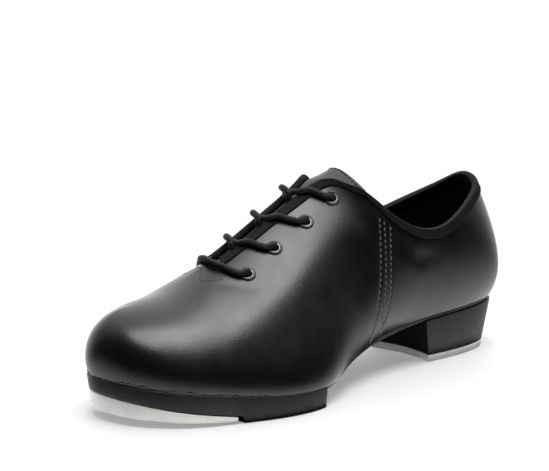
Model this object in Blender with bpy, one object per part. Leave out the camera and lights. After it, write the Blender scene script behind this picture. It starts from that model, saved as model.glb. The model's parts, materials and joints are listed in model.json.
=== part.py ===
"""Lace-up clogging shoe for the left foot with a toe tap and a heel tap, one object for each sub-part.

Metres. +X runs from heel to toe, +Y to the outer side of the foot, Z up from the floor.
"""

from collections import namedtuple

import bmesh
import bpy
import numpy as np

# Driving sizes
LENGTH = 0.300
BALL_WIDTH = 0.1045
INSTEP_HEIGHT = 0.119
HEEL_HEIGHT = 0.0336

# The sample last that the tables below are drawn on, in millimetres
SAMPLE_LENGTH = 300
SAMPLE_WIDTH = 104.5
SAMPLE_INSTEP = 119
SAMPLE_HEEL = 33.6
ALONG = LENGTH / SAMPLE_LENGTH
ACROSS = BALL_WIDTH / SAMPLE_WIDTH
UP = INSTEP_HEIGHT / SAMPLE_INSTEP
HEEL_UP = HEEL_HEIGHT / SAMPLE_HEEL

# Middle of the finished shoe's box, which becomes the origin
MIDDLE = np.array([0.13565, 0.00515, 0.0])

# Thicknesses and clearances
GAP = 0.0003
WALL = 0.0018
LAP = 0.0006
BINDING_THICK = 0.0008
BINDING_INSIDE = 0.0050
TONGUE_THICK = 0.0024
TONGUE_DEPTH = 0.0036
INSOLE_THICK = 0.0028
INSOLE_INSET = 0.0032
WAIST_THICK = 0.0032
SEAT_THICK = 0.0020
HEEL_TAP_THICK = 0.0043
MERGE = 0.000002

# One row for each section from the heel's back to the toe's tip. out and in are the foot of the wall on the
# outer and inner side, top is its upper end, lean and rise the lower handle, swell and drop the upper one,
# fall the slope of the ridge, dip how much lower the inner side's top is
Section = namedtuple(
    "Section",
    "out_x out_y in_x in_y top_x middle half top_z lean rise swell_out swell_in drop fall dip",
)
SECTIONS = (
    Section(-7, 0, -7, 0, 6, 0, 0, 109, 13, 16, 14, 14, 34, 0, 0),
    Section(-1, 17, -1, -17, 10, 0, 15, 106, 11.5, 16, 13, 13, 32, 0, 3.5),
    Section(13, 26.5, 13, -26.5, 24, 0, 25, 99, 9, 16, 10, 10, 26, 0, 4),
    Section(35, 30.5, 35, -30.5, 43, 0, 30.5, 89.5, 7, 16, 7, 7, 20, 0, 1.2),
    Section(60, 30.5, 60, -30, 62, 0, 32.5, 84, 7, 15, 5, 5, 16, 0, 0),
    Section(84, 29, 84, -28, 83, 0, 32, 88, 9.5, 15, 6, 6, 18, 0, 0),
    Section(106, 29.5, 106, -26.5, 101, -0.5, 28.5, 100, 12, 16, 9, 9, 28, 0, 0),
    Section(126, 33.5, 126, -27, 115, -1, 22.5, 113, 12.5, 17, 14, 14, 34, 0, 0),
    Section(143, 41, 144, -29.5, 127, -2, 9, 122, 11.5, 17, 23, 21, 26, -0.35, 0),
    Section(157, 49, 160, -33.5, 140, -3, 1.5, 117.5, 9.5, 17, 27, 23, 18, -0.5, 0),
    Section(172, 55.5, 176, -39, 160, -3.5, 0, 106.5, 7, 16, 29, 24, 18, -0.52, 0),
    Section(188, 57.5, 192, -44, 182, -4, 0, 93.5, 5, 15, 31, 26, 17, -0.55, 0),
    Section(205, 55.3, 209, -47, 203, -4, 0, 81.5, 4.5, 15, 30, 25, 10, -0.52, 0),
    Section(222, 50, 227, -46.5, 220, -5, 0, 72.6, 4.5, 15, 29, 27, 2, -0.45, 0),
    Section(240, 43.5, 245, -43.5, 236, -5.5, 0, 65.6, 4.5, 15.5, 29, 27, 0, -0.28, 0),
    Section(256, 35, 261, -38, 248, -6, 0, 63, 4.5, 16, 26, 25, 0, -0.17, 0),
    Section(269, 22.5, 272.5, -30, 257, -6.5, 0, 61.6, 5, 16.5, 22, 21, 0, -0.16, 0),
    Section(277.5, 8, 279, -20, 262, -7, 0, 60.8, 5.3, 16.5, 19.5, 19.5, 0, -0.16, 0),
    Section(281, -9, 281, -9, 264.5, -7.5, 0, 60.4, 5.3, 16.5, 18.5, 18.5, 0, -0.16, 0),
)
TOE = len(SECTIONS) - 1
LOOP = 2 * TOE

# Height of the feather line, where upper and sole meet
Height = namedtuple("Height", "x z")
FEATHER = (
    Height(-15, 34.2),
    Height(0, 33.6),
    Height(30, 32.4),
    Height(66, 30.2),
    Height(88, 27.4),
    Height(108, 23.6),
    Height(128, 19.0),
    Height(148, 14.9),
    Height(166, 12.5),
    Height(186, 12.1),
    Height(206, 13.1),
    Height(226, 14.9),
    Height(250, 18.3),
    Height(268, 21.4),
    Height(285, 24.4),
)
# Underside and top of the toe tap
TAP_LOW = (Height(222, 0.2), Height(240, 0.9), Height(260, 2.4), Height(284, 5.2))
TAP_HIGH = (Height(222, 2.6), Height(240, 5.6), Height(258, 8.8), Height(271, 12), Height(284, 16))

# Throat: half its width at each section, measured from the ridge
Slit = namedtuple("Slit", "section half")
THROAT = (
    Slit(7, 22.5),
    Slit(7.25, 20.4),
    Slit(7.5, 17.6),
    Slit(8, 12),
    Slit(8.5, 8.2),
    Slit(9, 6.2),
    Slit(10, 5.2),
    Slit(11.9, 4.2),
    Slit(12.1, 3.2),
    Slit(12.25, 0),
)
THROAT_TOP = 7
THROAT_BASE = 12.25
BINDING_END = 11.95
# Width of the binding's outer leg at each section
Width = namedtuple("Width", "section wide")
BINDING_WIDTHS = (
    Width(0, 5.4),
    Width(4, 5.4),
    Width(5.6, 4.8),
    Width(6.6, 3.8),
    Width(7.5, 4),
    Width(8.5, 5),
    Width(12, 5.2),
)
# Quarter seam
SEAM = 6.08
SEAM_STEP = 0.03
SEAM_BOW = 0.3
SEAM_REACH = 1.5

# Sole: sections where its outline or its underside steps
Step = namedtuple("Step", "section inset")
SOLE_EDGE = (
    Step(0, 0.5),
    Step(4.3, 0.5),
    Step(5.2, 1.5),
    Step(9.6, 1.5),
    Step(9.8, 1.2),
    Step(9.94, 0),
    Step(10.12, -1.2),
    Step(15, -1.2),
    Step(18, -1.8),
)
HEEL_FRONT = 4.33
PAD_BACK = 9.87
PAD_FRONT = 13.2
BED_BACK = 13.28
TAP_BACK = 13.42
SOLE_DRAFT = 0.0009
WAIST_DRAFT = 0.0003
SOLE_BEVEL = 0.0006
TAP_INSET = -0.0001
TAP_BEVEL = 0.0012
HEEL_INSET = -0.0002
HEEL_DRAFT = 0.0046
HEEL_LEAN = 0.945
HEEL_TAP_INSET = 0.0047
HEEL_TAP_DRAFT = 0.0004
HEEL_TAP_BEVEL = 0.0007
HOLLOW_START = 3
BREAST_HOLLOW = 0.0042

# Eyelets: section and distance from the ridge, then the ring's own sizes
Spot = namedtuple("Spot", "section side")
EYELETS = (Spot(11.55, 20.1), Spot(10.67, 18), Spot(9.7, 17.2), Spot(8.58, 16.2))
EYELET_BORE = 0.0023
EYELET_BARREL = 0.0029
EYELET_FLANGE = 0.0047
EYELET_HOLE = 0.0034
EYELET_LIFT = 0.00045
EYELET_CROWN = 0.0013
EYELET_SHOULDER = 0.0040
EYELET_LIP = 0.00276
EYELET_LIP_DROP = 0.00078
EYELET_DEPTH = 0.0024
EYELET_SIDES = 14

# Laces
LACE_RADIUS = 0.0019
LACE_SIDES = 8
# Steps of a lace from its eyelet: sections forward, share of the eyelet's distance from the ridge, lift
Turn = namedtuple("Turn", "forward side lift")
BAR_PATH = (
    Turn(0, 1, 0.0042),
    Turn(0.25, 0.865, 0.0030),
    Turn(0.41, 0.637, 0.0028),
    Turn(0.53, 0.443, 0.0030),
    Turn(0.69, 0.224, 0.0032),
    Turn(0.77, 0, 0.0030),
)
CROSS_PATH = (
    Turn(0, 1, 0.0042),
    Turn(0.3, 0.8, 0.0034),
    Turn(0.48, 0.54, 0.0040),
    Turn(0.62, 0.36, 0.0042),
    Turn(0.74, 0.13, 0.0024),
    Turn(0.84, -0.05, 0),
)

# Tongue: sections under the throat with its half width, then the free end past the collar
Strip = namedtuple("Strip", "section half")
TONGUE = (
    Strip(12.7, 11),
    Strip(12.2, 13),
    Strip(11.5, 15),
    Strip(10.7, 17),
    Strip(9.9, 19),
    Strip(9.2, 21),
    Strip(8.7, 22),
)
TONGUE_SHARES = (-1, -0.8, -0.55, -0.28, 0, 0.28, 0.55, 0.8, 1)
TONGUE_CROWN = 0.0012
Free = namedtuple("Free", "far wide arch")
TONGUE_END = (Free(0.4, 0.97, 1.0), Free(0.75, 0.93, 0.9), Free(1.0, 0.88, 0.74))
TONGUE_FREE = 0.0215
TONGUE_CURL = 0.35
TONGUE_RISE = np.array([-0.96, 0.0, 0.28])

# Mesh steps
WALL_SHARES = (0, 0.06, 0.13, 0.21, 0.3, 0.4, 0.5, 0.6, 0.7, 0.8, 0.88, 0.95, 1)
LINING_SHARES = (1, 0.92, 0.78, 0.62, 0.46, 0.3, 0.16, 0)
SLOPE_STEP = 0.01
NEAR_TOP = 0.985
LOWEST_SHARE = 0.4
HALVINGS = 30
HOLLOW_POINTS = 7
Run = namedtuple("Run", "start end steps")
UPPER_RUNS = (
    Run(0, SEAM - SEAM_STEP, 17),
    Run(SEAM + SEAM_STEP, THROAT_TOP, 3),
    Run(THROAT_TOP, 9, 7),
    Run(9, BINDING_END, 7),
    Run(BINDING_END, THROAT_BASE, 3),
    Run(THROAT_BASE, TOE, 17),
)
SOLE_RUNS = (
    Run(0, 1, 5),
    Run(1, HEEL_FRONT, 8),
    Run(HEEL_FRONT, 9.6, 13),
    Run(9.8, 10.16, 6),
    Run(10.16, PAD_FRONT, 7),
    Run(BED_BACK, 17, 8),
    Run(17, TOE, 5),
)
INSOLE_RUNS = (Run(0, 1, 4), Run(1, 17, 32), Run(17, TOE, 4))
TAP_RUNS = (Run(TAP_BACK, 17, 11), Run(17, TOE, 5))
HEEL_RUNS = (Run(0, 1, 5), Run(1, HEEL_FRONT, 9))

Finish = namedtuple("Finish", "colour roughness metallic")
LEATHER = Finish((0.018, 0.018, 0.019), 0.38, 0.0)
TAPE = Finish((0.010, 0.010, 0.010), 0.85, 0.0)
TONGUE_LEATHER = Finish((0.030, 0.030, 0.032), 0.55, 0.0)
RUBBER = Finish((0.012, 0.012, 0.012), 0.6, 0.0)
INSOLE_CLOTH = Finish((0.015, 0.015, 0.015), 0.9, 0.0)
ALUMINIUM = Finish((0.80, 0.79, 0.76), 0.32, 1.0)
BLACK_METAL = Finish((0.05, 0.05, 0.05), 0.35, 0.8)
CORD = Finish((0.012, 0.012, 0.012), 0.8, 0.0)


def spline(knots, values, at):
    """Natural cubic spline through the values, one column or several."""
    knots = np.asarray(knots, float)
    values = np.asarray(values, float)
    at = np.asarray(at, float)
    count = len(knots)
    table = values.reshape(count, -1)
    step = np.diff(knots)
    system = np.eye(count)
    right = np.zeros_like(table)
    for i in range(1, count - 1):
        system[i, i - 1 : i + 2] = step[i - 1], 2 * (step[i - 1] + step[i]), step[i]
        right[i] = 6 * ((table[i + 1] - table[i]) / step[i] - (table[i] - table[i - 1]) / step[i - 1])
    bend = np.linalg.solve(system, right)
    i = np.clip(np.searchsorted(knots, at) - 1, 0, count - 2)
    wide = step[i][..., None]
    past = (at - knots[i])[..., None]
    left = wide - past
    out = (bend[i] * left**3 + bend[i + 1] * past**3) / (6 * wide)
    out = out + (table[i] / wide - bend[i] * wide / 6) * left
    out = out + (table[i + 1] / wide - bend[i + 1] * wide / 6) * past
    return out.reshape(at.shape + values.shape[1:])


def ring_table():
    """The sections once round: out along the outer side to the toe, back along the inner side."""
    outer = []
    inner = []
    for s in SECTIONS:
        low = s.top_z - s.dip
        across = (s.top_x, s.middle)
        edges = (s.lean, s.rise)
        ends = (s.drop, s.fall)
        outer.append((s.out_x, s.out_y, *across, s.half, s.top_z, *edges, s.swell_out, *ends))
        inner.append((s.in_x, s.in_y, *across, -s.half, low, *edges, s.swell_in, *ends))
    table = np.array(outer + inner[-2:0:-1], float)
    scale = (ALONG, ACROSS, ALONG, ACROSS, ACROSS, UP, ACROSS, UP, ACROSS, UP, 1)
    return table * np.array(scale)


RING = ring_table()
Wall = namedtuple("Wall", "foot top middle lean rise swell drop fall")


def height(table, x, scale):
    """Height read from a table of heights at x."""
    rows = np.array(table, float)
    return spline(rows[:, 0] * ALONG, rows[:, 1] * scale, x)


def feather(x):
    return height(FEATHER, x, HEEL_UP)


def side_of(u):
    """Section number counted from the heel on either side."""
    u = np.mod(u, LOOP)
    return np.minimum(u, LOOP - u)


def wall_at(u):
    """The wall's section at u, read from the closed table."""
    knots = np.arange(-LOOP, 2 * LOOP)
    row = spline(knots, np.concatenate([RING, RING, RING]), np.mod(u, LOOP))
    foot = np.stack([row[..., 0], row[..., 1], feather(row[..., 0])], -1)
    half = np.where(side_of(u) < THROAT_BASE - 1, row[..., 4], 0)
    top = np.stack([row[..., 2], row[..., 3] + half, row[..., 5]], -1)
    return Wall(foot, top, row[..., 3], *(row[..., k, None] for k in range(6, 11)))


def outward(u):
    """Level direction away from the foot outline at u."""
    ahead = wall_at(u + SLOPE_STEP).foot - wall_at(u - SLOPE_STEP).foot
    flat = np.stack([-ahead[..., 1], ahead[..., 0], np.zeros_like(ahead[..., 0])], -1)
    return flat / np.linalg.norm(flat, axis=-1, keepdims=True)


def wall(u, v):
    """Point of the upper's outer face: u counts sections round the shoe, v climbs from sole to top."""
    u, v = np.broadcast_arrays(np.asarray(u, float), np.asarray(v, float))
    row = wall_at(u)
    away = outward(u)
    up = np.array([0.0, 0.0, 1.0])
    low = row.foot + row.lean * away + row.rise * up
    high = row.top + row.swell * (away + row.fall * away[..., :1] * up) - row.drop * up
    v = v[..., None]
    w = 1 - v
    return row.foot * w**3 + 3 * low * v * w**2 + 3 * high * v**2 * w + row.top * v**3


def facing(u, v):
    """Unit vector out of the wall at (u, v), read just under the ridge where the sections fan out."""
    v = np.minimum(v, NEAR_TOP)
    along = wall(u + SLOPE_STEP, v) - wall(u - SLOPE_STEP, v)
    climb = wall(u, v + SLOPE_STEP) - wall(u, np.maximum(v - SLOPE_STEP, 0))
    out = np.cross(climb, along)
    return out / np.linalg.norm(out, axis=-1, keepdims=True)


def normal(u, v):
    """Facing direction, shared by both sides where they meet along the ridge."""
    u, v = np.broadcast_arrays(np.asarray(u, float), np.asarray(v, float))
    own = facing(u, v)
    both = own + facing(LOOP - u, v)
    both = both / np.linalg.norm(both, axis=-1, keepdims=True)
    on_ridge = (v > 1 - MERGE) & (side_of(u) > THROAT_BASE - SLOPE_STEP)
    return np.where(on_ridge[..., None], both, own)


def bow(v):
    """How far the quarter seam runs forward of its ends at v."""
    return SEAM_BOW * 4 * v * (1 - v)


def bend(u, v):
    """Section number at v of a column that starts at u, so that columns follow the bowed seam."""
    near = np.clip(1 - np.abs(side_of(u) - SEAM) / SEAM_REACH, 0, 1)
    return u + np.where(np.mod(u, LOOP) < TOE, 1, -1) * near * bow(v)


def skin(u, v, depth):
    """Point at a depth under the upper's outer face, whose front panel laps over the quarters."""
    u, v = np.broadcast_arrays(np.asarray(u, float), np.asarray(v, float))
    lap = LAP * np.clip((side_of(u) - SEAM - bow(v)) / SEAM_STEP + 0.5, 0, 1)
    return wall(u, v) + (lap - depth)[..., None] * normal(u, v)


def share_at(u, reach):
    """Share of the wall's height where it comes within reach of the ridge, 1 where it never does."""
    u, reach = np.broadcast_arrays(np.asarray(u, float), np.asarray(reach, float))
    low = np.full(u.shape, LOWEST_SHARE)
    high = np.ones(u.shape)
    for _ in range(HALVINGS):
        mid = (low + high) / 2
        far = np.abs(wall(u, mid)[..., 1] - wall_at(u).middle) > reach
        low = np.where(far, mid, low)
        high = np.where(far, high, mid)
    return high


def edge_share(u):
    """Share of the wall's height at the upper's top edge: the collar, the throat's edge or the ridge."""
    s = side_of(u)
    half = np.interp(s, [row.section for row in THROAT], [row.half * ACROSS for row in THROAT])
    cut = share_at(u, half)
    return np.where((s > THROAT_TOP) & (s < THROAT_BASE - MERGE), cut, 1.0)


def over(section, side, lift):
    """Point above the upper at a section and a signed distance from the ridge, over the open throat too."""
    u = section if side >= 0 else LOOP - section
    v = share_at(u, abs(side))
    return skin(u, v, -lift)


def solid(name, points, faces, finish):
    """One closed mesh object with its own material."""
    work = bmesh.new()
    corners = [work.verts.new(np.asarray(point) - MIDDLE) for point in points]
    for face in faces:
        work.faces.new([corners[i] for i in face])
    bmesh.ops.remove_doubles(work, verts=work.verts[:], dist=MERGE)
    bmesh.ops.recalc_face_normals(work, faces=work.faces[:])
    mesh = bpy.data.meshes.new(name)
    work.to_mesh(mesh)
    work.free()
    material = bpy.data.materials.new(name)
    material.use_nodes = True
    shader = material.node_tree.nodes["Principled BSDF"]
    shader.inputs["Base Color"].default_value = (*finish.colour, 1)
    shader.inputs["Roughness"].default_value = finish.roughness
    shader.inputs["Metallic"].default_value = finish.metallic
    mesh.materials.append(material)
    piece = bpy.data.objects.new(name, mesh)
    bpy.context.scene.collection.objects.link(piece)
    return piece


def band(first, second, count, closed):
    """Quads between two rows of points that start at the given indices."""
    quads = []
    for i in range(count if closed else count - 1):
        j = (i + 1) % count
        quads.append((first + i, first + j, second + j, second + i))
    return quads


def tube_faces(rings, count):
    """Faces of a run of closed rings with both ends capped."""
    faces = []
    for k in range(rings - 1):
        faces += band(k * count, (k + 1) * count, count, True)
    faces.append(tuple(range(count)))
    faces.append(tuple((rings - 1) * count + i for i in range(count)))
    return faces


def cut(piece, tool, operation):
    """Boolean with a hidden tool object."""
    tool.hide_render = True
    tool.display_type = "WIRE"
    change = piece.modifiers.new(tool.name, "BOOLEAN")
    change.operation = operation
    change.solver = "EXACT"
    change.object = tool


def stations(runs):
    """Section numbers along runs of even steps."""
    return np.unique(np.concatenate([np.linspace(run.start, run.end, run.steps + 1) for run in runs]))


def make_upper():
    half = stations(UPPER_RUNS)
    u = np.concatenate([half, LOOP - half[-2:0:-1]])
    top = edge_share(u)
    rows = [skin(bend(u, top * share), top * share, 0) for share in WALL_SHARES]
    rows += [skin(bend(u, top * share), top * share, WALL) for share in LINING_SHARES]
    away = outward(u)
    tilt = (normal(u, 0 * u) * away).sum(-1, keepdims=True)
    rows[-1] = rows[0] - WALL / tilt * away
    count = len(u)
    rim = len(WALL_SHARES) - 1
    faces = []
    for k in range(len(rows)):
        quads = band(k * count, (k + 1) % len(rows) * count, count, True)
        if k == rim:
            open_top = side_of(u) < THROAT_BASE + MERGE
            quads = [q for i, q in enumerate(quads) if open_top[i] and open_top[(i + 1) % count]]
        faces += quads
    upper = solid("upper", np.concatenate(rows), faces, LEATHER)
    cut(upper, make_eyelet_holes(), "DIFFERENCE")


def eyelet_spots():
    """Name, place and axis of each eyelet."""
    for side, sign in (("outer", 1), ("inner", -1)):
        for number, spot in enumerate(EYELETS, 1):
            u = spot.section if sign > 0 else LOOP - spot.section
            v = share_at(u, spot.side * ACROSS)
            yield f"eyelet_{side}_{number}", skin(u, v, 0), normal(u, v)


def lathe(place, axis, profile, sides):
    """Rings of points turned about an axis, from (radius, height) pairs."""
    first = np.cross(axis, (0.0, 1.0, 0.0))
    first = first / np.linalg.norm(first)
    second = np.cross(axis, first)
    angle = np.linspace(0, 2 * np.pi, sides, endpoint=False)[:, None]
    spoke = np.cos(angle) * first + np.sin(angle) * second
    return [place + radius * spoke + rise * axis for radius, rise in profile]


def make_eyelet_holes():
    points = []
    faces = []
    for _, place, axis in eyelet_spots():
        profile = ((EYELET_HOLE, -2 * EYELET_DEPTH), (EYELET_HOLE, EYELET_DEPTH))
        rings = lathe(place, axis, profile, EYELET_SIDES)
        faces += [tuple(len(points) + i for i in face) for face in tube_faces(len(rings), EYELET_SIDES)]
        points += list(np.concatenate(rings))
    return solid("eyelet_holes", points, faces, LEATHER)


def make_eyelets():
    profile = (
        (EYELET_BORE, -EYELET_DEPTH),
        (EYELET_BARREL, -EYELET_DEPTH),
        (EYELET_BARREL, EYELET_LIFT),
        (EYELET_FLANGE, EYELET_LIFT),
        (EYELET_SHOULDER, EYELET_CROWN),
        (EYELET_LIP, EYELET_CROWN),
        (EYELET_BORE, EYELET_LIP_DROP),
    )
    for name, place, axis in eyelet_spots():
        rings = lathe(place, axis, profile, EYELET_SIDES)
        faces = []
        for k in range(len(rings)):
            faces += band(k * EYELET_SIDES, (k + 1) % len(rings) * EYELET_SIDES, EYELET_SIDES, True)
        solid(name, np.concatenate(rings), faces, BLACK_METAL)


def make_binding():
    """Tape folded over the collar and both throat edges."""
    half = stations(UPPER_RUNS)
    half = half[half < BINDING_END + MERGE]
    u = np.concatenate([-half[:0:-1], half])
    top = edge_share(u)
    climb = wall(u, top) - wall(u, top - SLOPE_STEP)
    rate = np.linalg.norm(climb, axis=-1) / SLOPE_STEP
    beyond = climb / np.linalg.norm(climb, axis=-1, keepdims=True)
    marks = [row.section for row in BINDING_WIDTHS]
    wide = np.interp(side_of(u), marks, [row.wide * ACROSS for row in BINDING_WIDTHS])
    low = top - wide / rate
    deep = top - BINDING_INSIDE / rate
    near = GAP
    far = GAP + BINDING_THICK
    rows = (
        skin(bend(u, low), low, -near),
        skin(bend(u, low), low, -far),
        skin(u, top, -far),
        skin(u, top, 0) + far * beyond,
        skin(u, top, WALL) + far * beyond,
        skin(u, top, WALL + far),
        skin(bend(u, deep), deep, WALL + far),
        skin(bend(u, deep), deep, WALL + near),
        skin(u, top, WALL + near) + near * beyond,
        skin(u, top, -near) + near * beyond,
    )
    rings = np.stack(rows, 1)
    solid("collar_binding", rings.reshape(-1, 3), tube_faces(len(u), len(rows)), TAPE)


def sheet(name, top, below, finish):
    """Closed sheet from two grids of points with the same rows and columns."""
    rows, count = top.shape[:2]
    size = rows * count
    faces = []
    for k in range(rows - 1):
        faces += band(k * count, (k + 1) * count, count, False)
        faces += band(size + k * count, size + (k + 1) * count, count, False)
        for i in (k * count, k * count + count - 1):
            faces.append((i, i + count, size + i + count, size + i))
    for k in (0, rows - 1):
        faces += band(k * count, size + k * count, count, False)
    points = np.concatenate([top.reshape(-1, 3), below.reshape(-1, 3)])
    return solid(name, points, faces, finish)


def tongue_row(section, half):
    """Points across the tongue, kept under the upper's inner face."""
    rows = [over(section, share * half * ACROSS, -TONGUE_DEPTH) for share in TONGUE_SHARES]
    centre = len(rows) // 2
    rows[centre] = (rows[centre - 1] + rows[centre + 1]) / 2 + np.array([0, 0, TONGUE_CROWN])
    return np.array(rows)


def make_tongue():
    rows = [tongue_row(strip.section, strip.half) for strip in TONGUE]
    last = rows[-1]
    centre = last[len(last) // 2]
    curl = 1 + TONGUE_CURL * np.array(TONGUE_SHARES)[:, None] ** 2
    for free in TONGUE_END:
        flat = centre + (last - centre) * np.array([1, free.wide, free.arch])
        rows.append(flat + free.far * TONGUE_FREE * curl * TONGUE_RISE)
    top = np.array(rows)
    along = np.gradient(top, axis=0)
    across = np.gradient(top, axis=1)
    down = np.cross(across, along)
    down = down / np.linalg.norm(down, axis=-1, keepdims=True)
    down = down * -np.sign(down[..., 2:])
    sheet("tongue", top, top + TONGUE_THICK * down, TONGUE_LEATHER)


def rim(u, inset):
    """Foot outline moved inwards by inset, level with the feather line."""
    u = np.asarray(u, float)
    return wall_at(u).foot - np.asarray(inset, float)[..., None] * outward(u)


def plate(name, sections, rings, finish, hollow=None):
    """Solid from rings of edge points given as (inset, height of x, share of the sections), filled across."""
    shares = np.linspace(1, -1, 2 if hollow is None else HOLLOW_POINTS)
    inward = np.zeros(len(sections)) if hollow is None else hollow
    grids = []
    for inset, rise, run in rings:
        inset = np.broadcast_to(inset, sections.shape)
        left = rim(run * sections, inset)[:, None, :]
        right = rim(LOOP - run * sections, inset)[:, None, :]
        part = (shares[None, :, None] + 1) / 2
        grid = left * part + right * (1 - part)
        grid[..., 0] = grid[..., 0] - inward[:, None] * (1 - shares[None, :] ** 2)
        grid[..., 2] = rise(grid[..., 0], sections[:, None])
        grids.append(grid)
    rows, count = grids[0].shape[:2]
    size = rows * count
    points = np.concatenate([grid.reshape(-1, 3) for grid in grids])
    end = (len(grids) - 1) * size
    faces = []
    for k in range(rows - 1):
        faces += band(k * count, (k + 1) * count, count, False)
        faces += band(end + k * count, end + (k + 1) * count, count, False)
    for g in range(len(grids) - 1):
        start = g * size
        for k in range(rows - 1):
            for i in (start + k * count, start + k * count + count - 1):
                faces.append((i, i + count, i + count + size, i + size))
        for k in (0, rows - 1):
            faces += band(start + k * count, start + size + k * count, count, False)
    return solid(name, points, faces, finish)


def sole_under(x, section):
    """Underside of the sole: seat, waist, the pad on the floor, then the bed of the toe tap."""
    thick = np.interp(section, (HEEL_FRONT, HEEL_FRONT + 1), (SEAT_THICK, WAIST_THICK))
    arch = feather(x) - GAP - thick
    bed = height(TAP_HIGH, x, HEEL_UP) + GAP
    return np.where(section < PAD_BACK, arch, np.where(section < PAD_FRONT + MERGE, 0 * x, bed))


def make_sole():
    sections = stations(SOLE_RUNS)
    inset = np.interp(sections, [s.section for s in SOLE_EDGE], [s.inset * ACROSS for s in SOLE_EDGE])
    deep = np.where(sections > PAD_BACK, SOLE_DRAFT, WAIST_DRAFT)

    def top(x, section):
        return feather(x) - GAP

    def shoulder(x, section):
        return feather(x) - GAP - SOLE_BEVEL

    def sill(x, section):
        return sole_under(x, section) + SOLE_BEVEL

    rings = (
        (inset + SOLE_BEVEL, top, 1),
        (inset, shoulder, 1),
        (inset + deep, sill, 1),
        (inset + deep + SOLE_BEVEL, sole_under, 1),
    )
    plate("sole", sections, rings, RUBBER)


def make_insole():
    def top(x, section):
        return feather(x) + INSOLE_THICK

    def below(x, section):
        return feather(x)

    rings = ((INSOLE_INSET, top, 1), (INSOLE_INSET, below, 1))
    plate("insole", stations(INSOLE_RUNS), rings, INSOLE_CLOTH)


def make_toe_tap():
    def top(x, section):
        return height(TAP_HIGH, x, HEEL_UP)

    def below(x, section):
        return height(TAP_LOW, x, HEEL_UP)

    def sill(x, section):
        return below(x, section) + TAP_BEVEL

    rings = ((TAP_INSET, top, 1), (TAP_INSET, sill, 1), (TAP_INSET + TAP_BEVEL, below, 1))
    plate("toe_tap", stations(TAP_RUNS), rings, ALUMINIUM)


def make_heel():
    sections = stations(HEEL_RUNS)
    hollow = BREAST_HOLLOW * np.clip((sections - HOLLOW_START) / (HEEL_FRONT - HOLLOW_START), 0, 1) ** 2

    def top(x, section):
        return feather(x) - 2 * GAP - SEAT_THICK

    def below(x, section):
        return 0 * x + HEEL_TAP_THICK + GAP

    plate("heel", sections, ((HEEL_INSET, top, 1), (HEEL_DRAFT, below, HEEL_LEAN)), RUBBER, hollow)

    def tap_top(x, section):
        return 0 * x + HEEL_TAP_THICK

    def tap_sill(x, section):
        return 0 * x + HEEL_TAP_BEVEL

    def floor(x, section):
        return 0 * x

    sill = HEEL_TAP_INSET + HEEL_TAP_DRAFT
    rings = (
        (HEEL_TAP_INSET, tap_top, HEEL_LEAN),
        (sill, tap_sill, HEEL_LEAN),
        (sill + HEEL_TAP_BEVEL, floor, HEEL_LEAN),
    )
    plate("heel_tap", sections, rings, ALUMINIUM, hollow)


def cord(name, path, finish):
    """Round cord along a path of points."""
    path = np.asarray(path)
    knots = np.arange(len(path))
    fine = spline(knots, path, np.linspace(0, len(path) - 1, 3 * len(path) - 2))
    along = np.gradient(fine, axis=0)
    along = along / np.linalg.norm(along, axis=-1, keepdims=True)
    side = np.cross(along, (0.0, 0.0, 1.0))
    side = side / np.linalg.norm(side, axis=-1, keepdims=True)
    up = np.cross(side, along)
    angle = np.linspace(0, 2 * np.pi, LACE_SIDES, endpoint=False)[None, :, None]
    rings = fine[:, None] + LACE_RADIUS * (np.cos(angle) * side[:, None] + np.sin(angle) * up[:, None])
    return solid(name, rings.reshape(-1, 3), tube_faces(len(fine), LACE_SIDES), finish)


def lace_point(spot, turn, sign):
    return over(spot.section + turn.forward, sign * turn.side * spot.side * ACROSS, turn.lift)


def make_laces():
    outer = [lace_point(EYELETS[0], turn, 1) for turn in BAR_PATH]
    inner = [lace_point(EYELETS[0], turn, -1) for turn in BAR_PATH[:-1]]
    cord("lace_bar", outer + inner[::-1], CORD)
    for number, spot in enumerate(EYELETS[1:], 1):
        first = [lace_point(spot, turn, 1) for turn in CROSS_PATH]
        second = [lace_point(spot, turn, -1) for turn in CROSS_PATH]
        cross = cord(f"lace_cross_{number}", first, CORD)
        cut(cross, cord(f"lace_strand_{number}", second, CORD), "UNION")


def main():
    for old in list(bpy.data.objects):
        bpy.data.objects.remove(old)
    make_upper()
    make_binding()
    make_tongue()
    make_insole()
    make_sole()
    make_heel()
    make_toe_tap()
    make_eyelets()
    make_laces()


main()
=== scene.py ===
"""Looks of a black lace-up clogging shoe for the left foot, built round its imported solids.

Metres. +X runs from heel to toe, +Y to the outer side of the foot, Z up from the floor.
"""

import json
import math
from collections import namedtuple

import bmesh
import bpy
import numpy as np
from mathutils import Matrix

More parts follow.
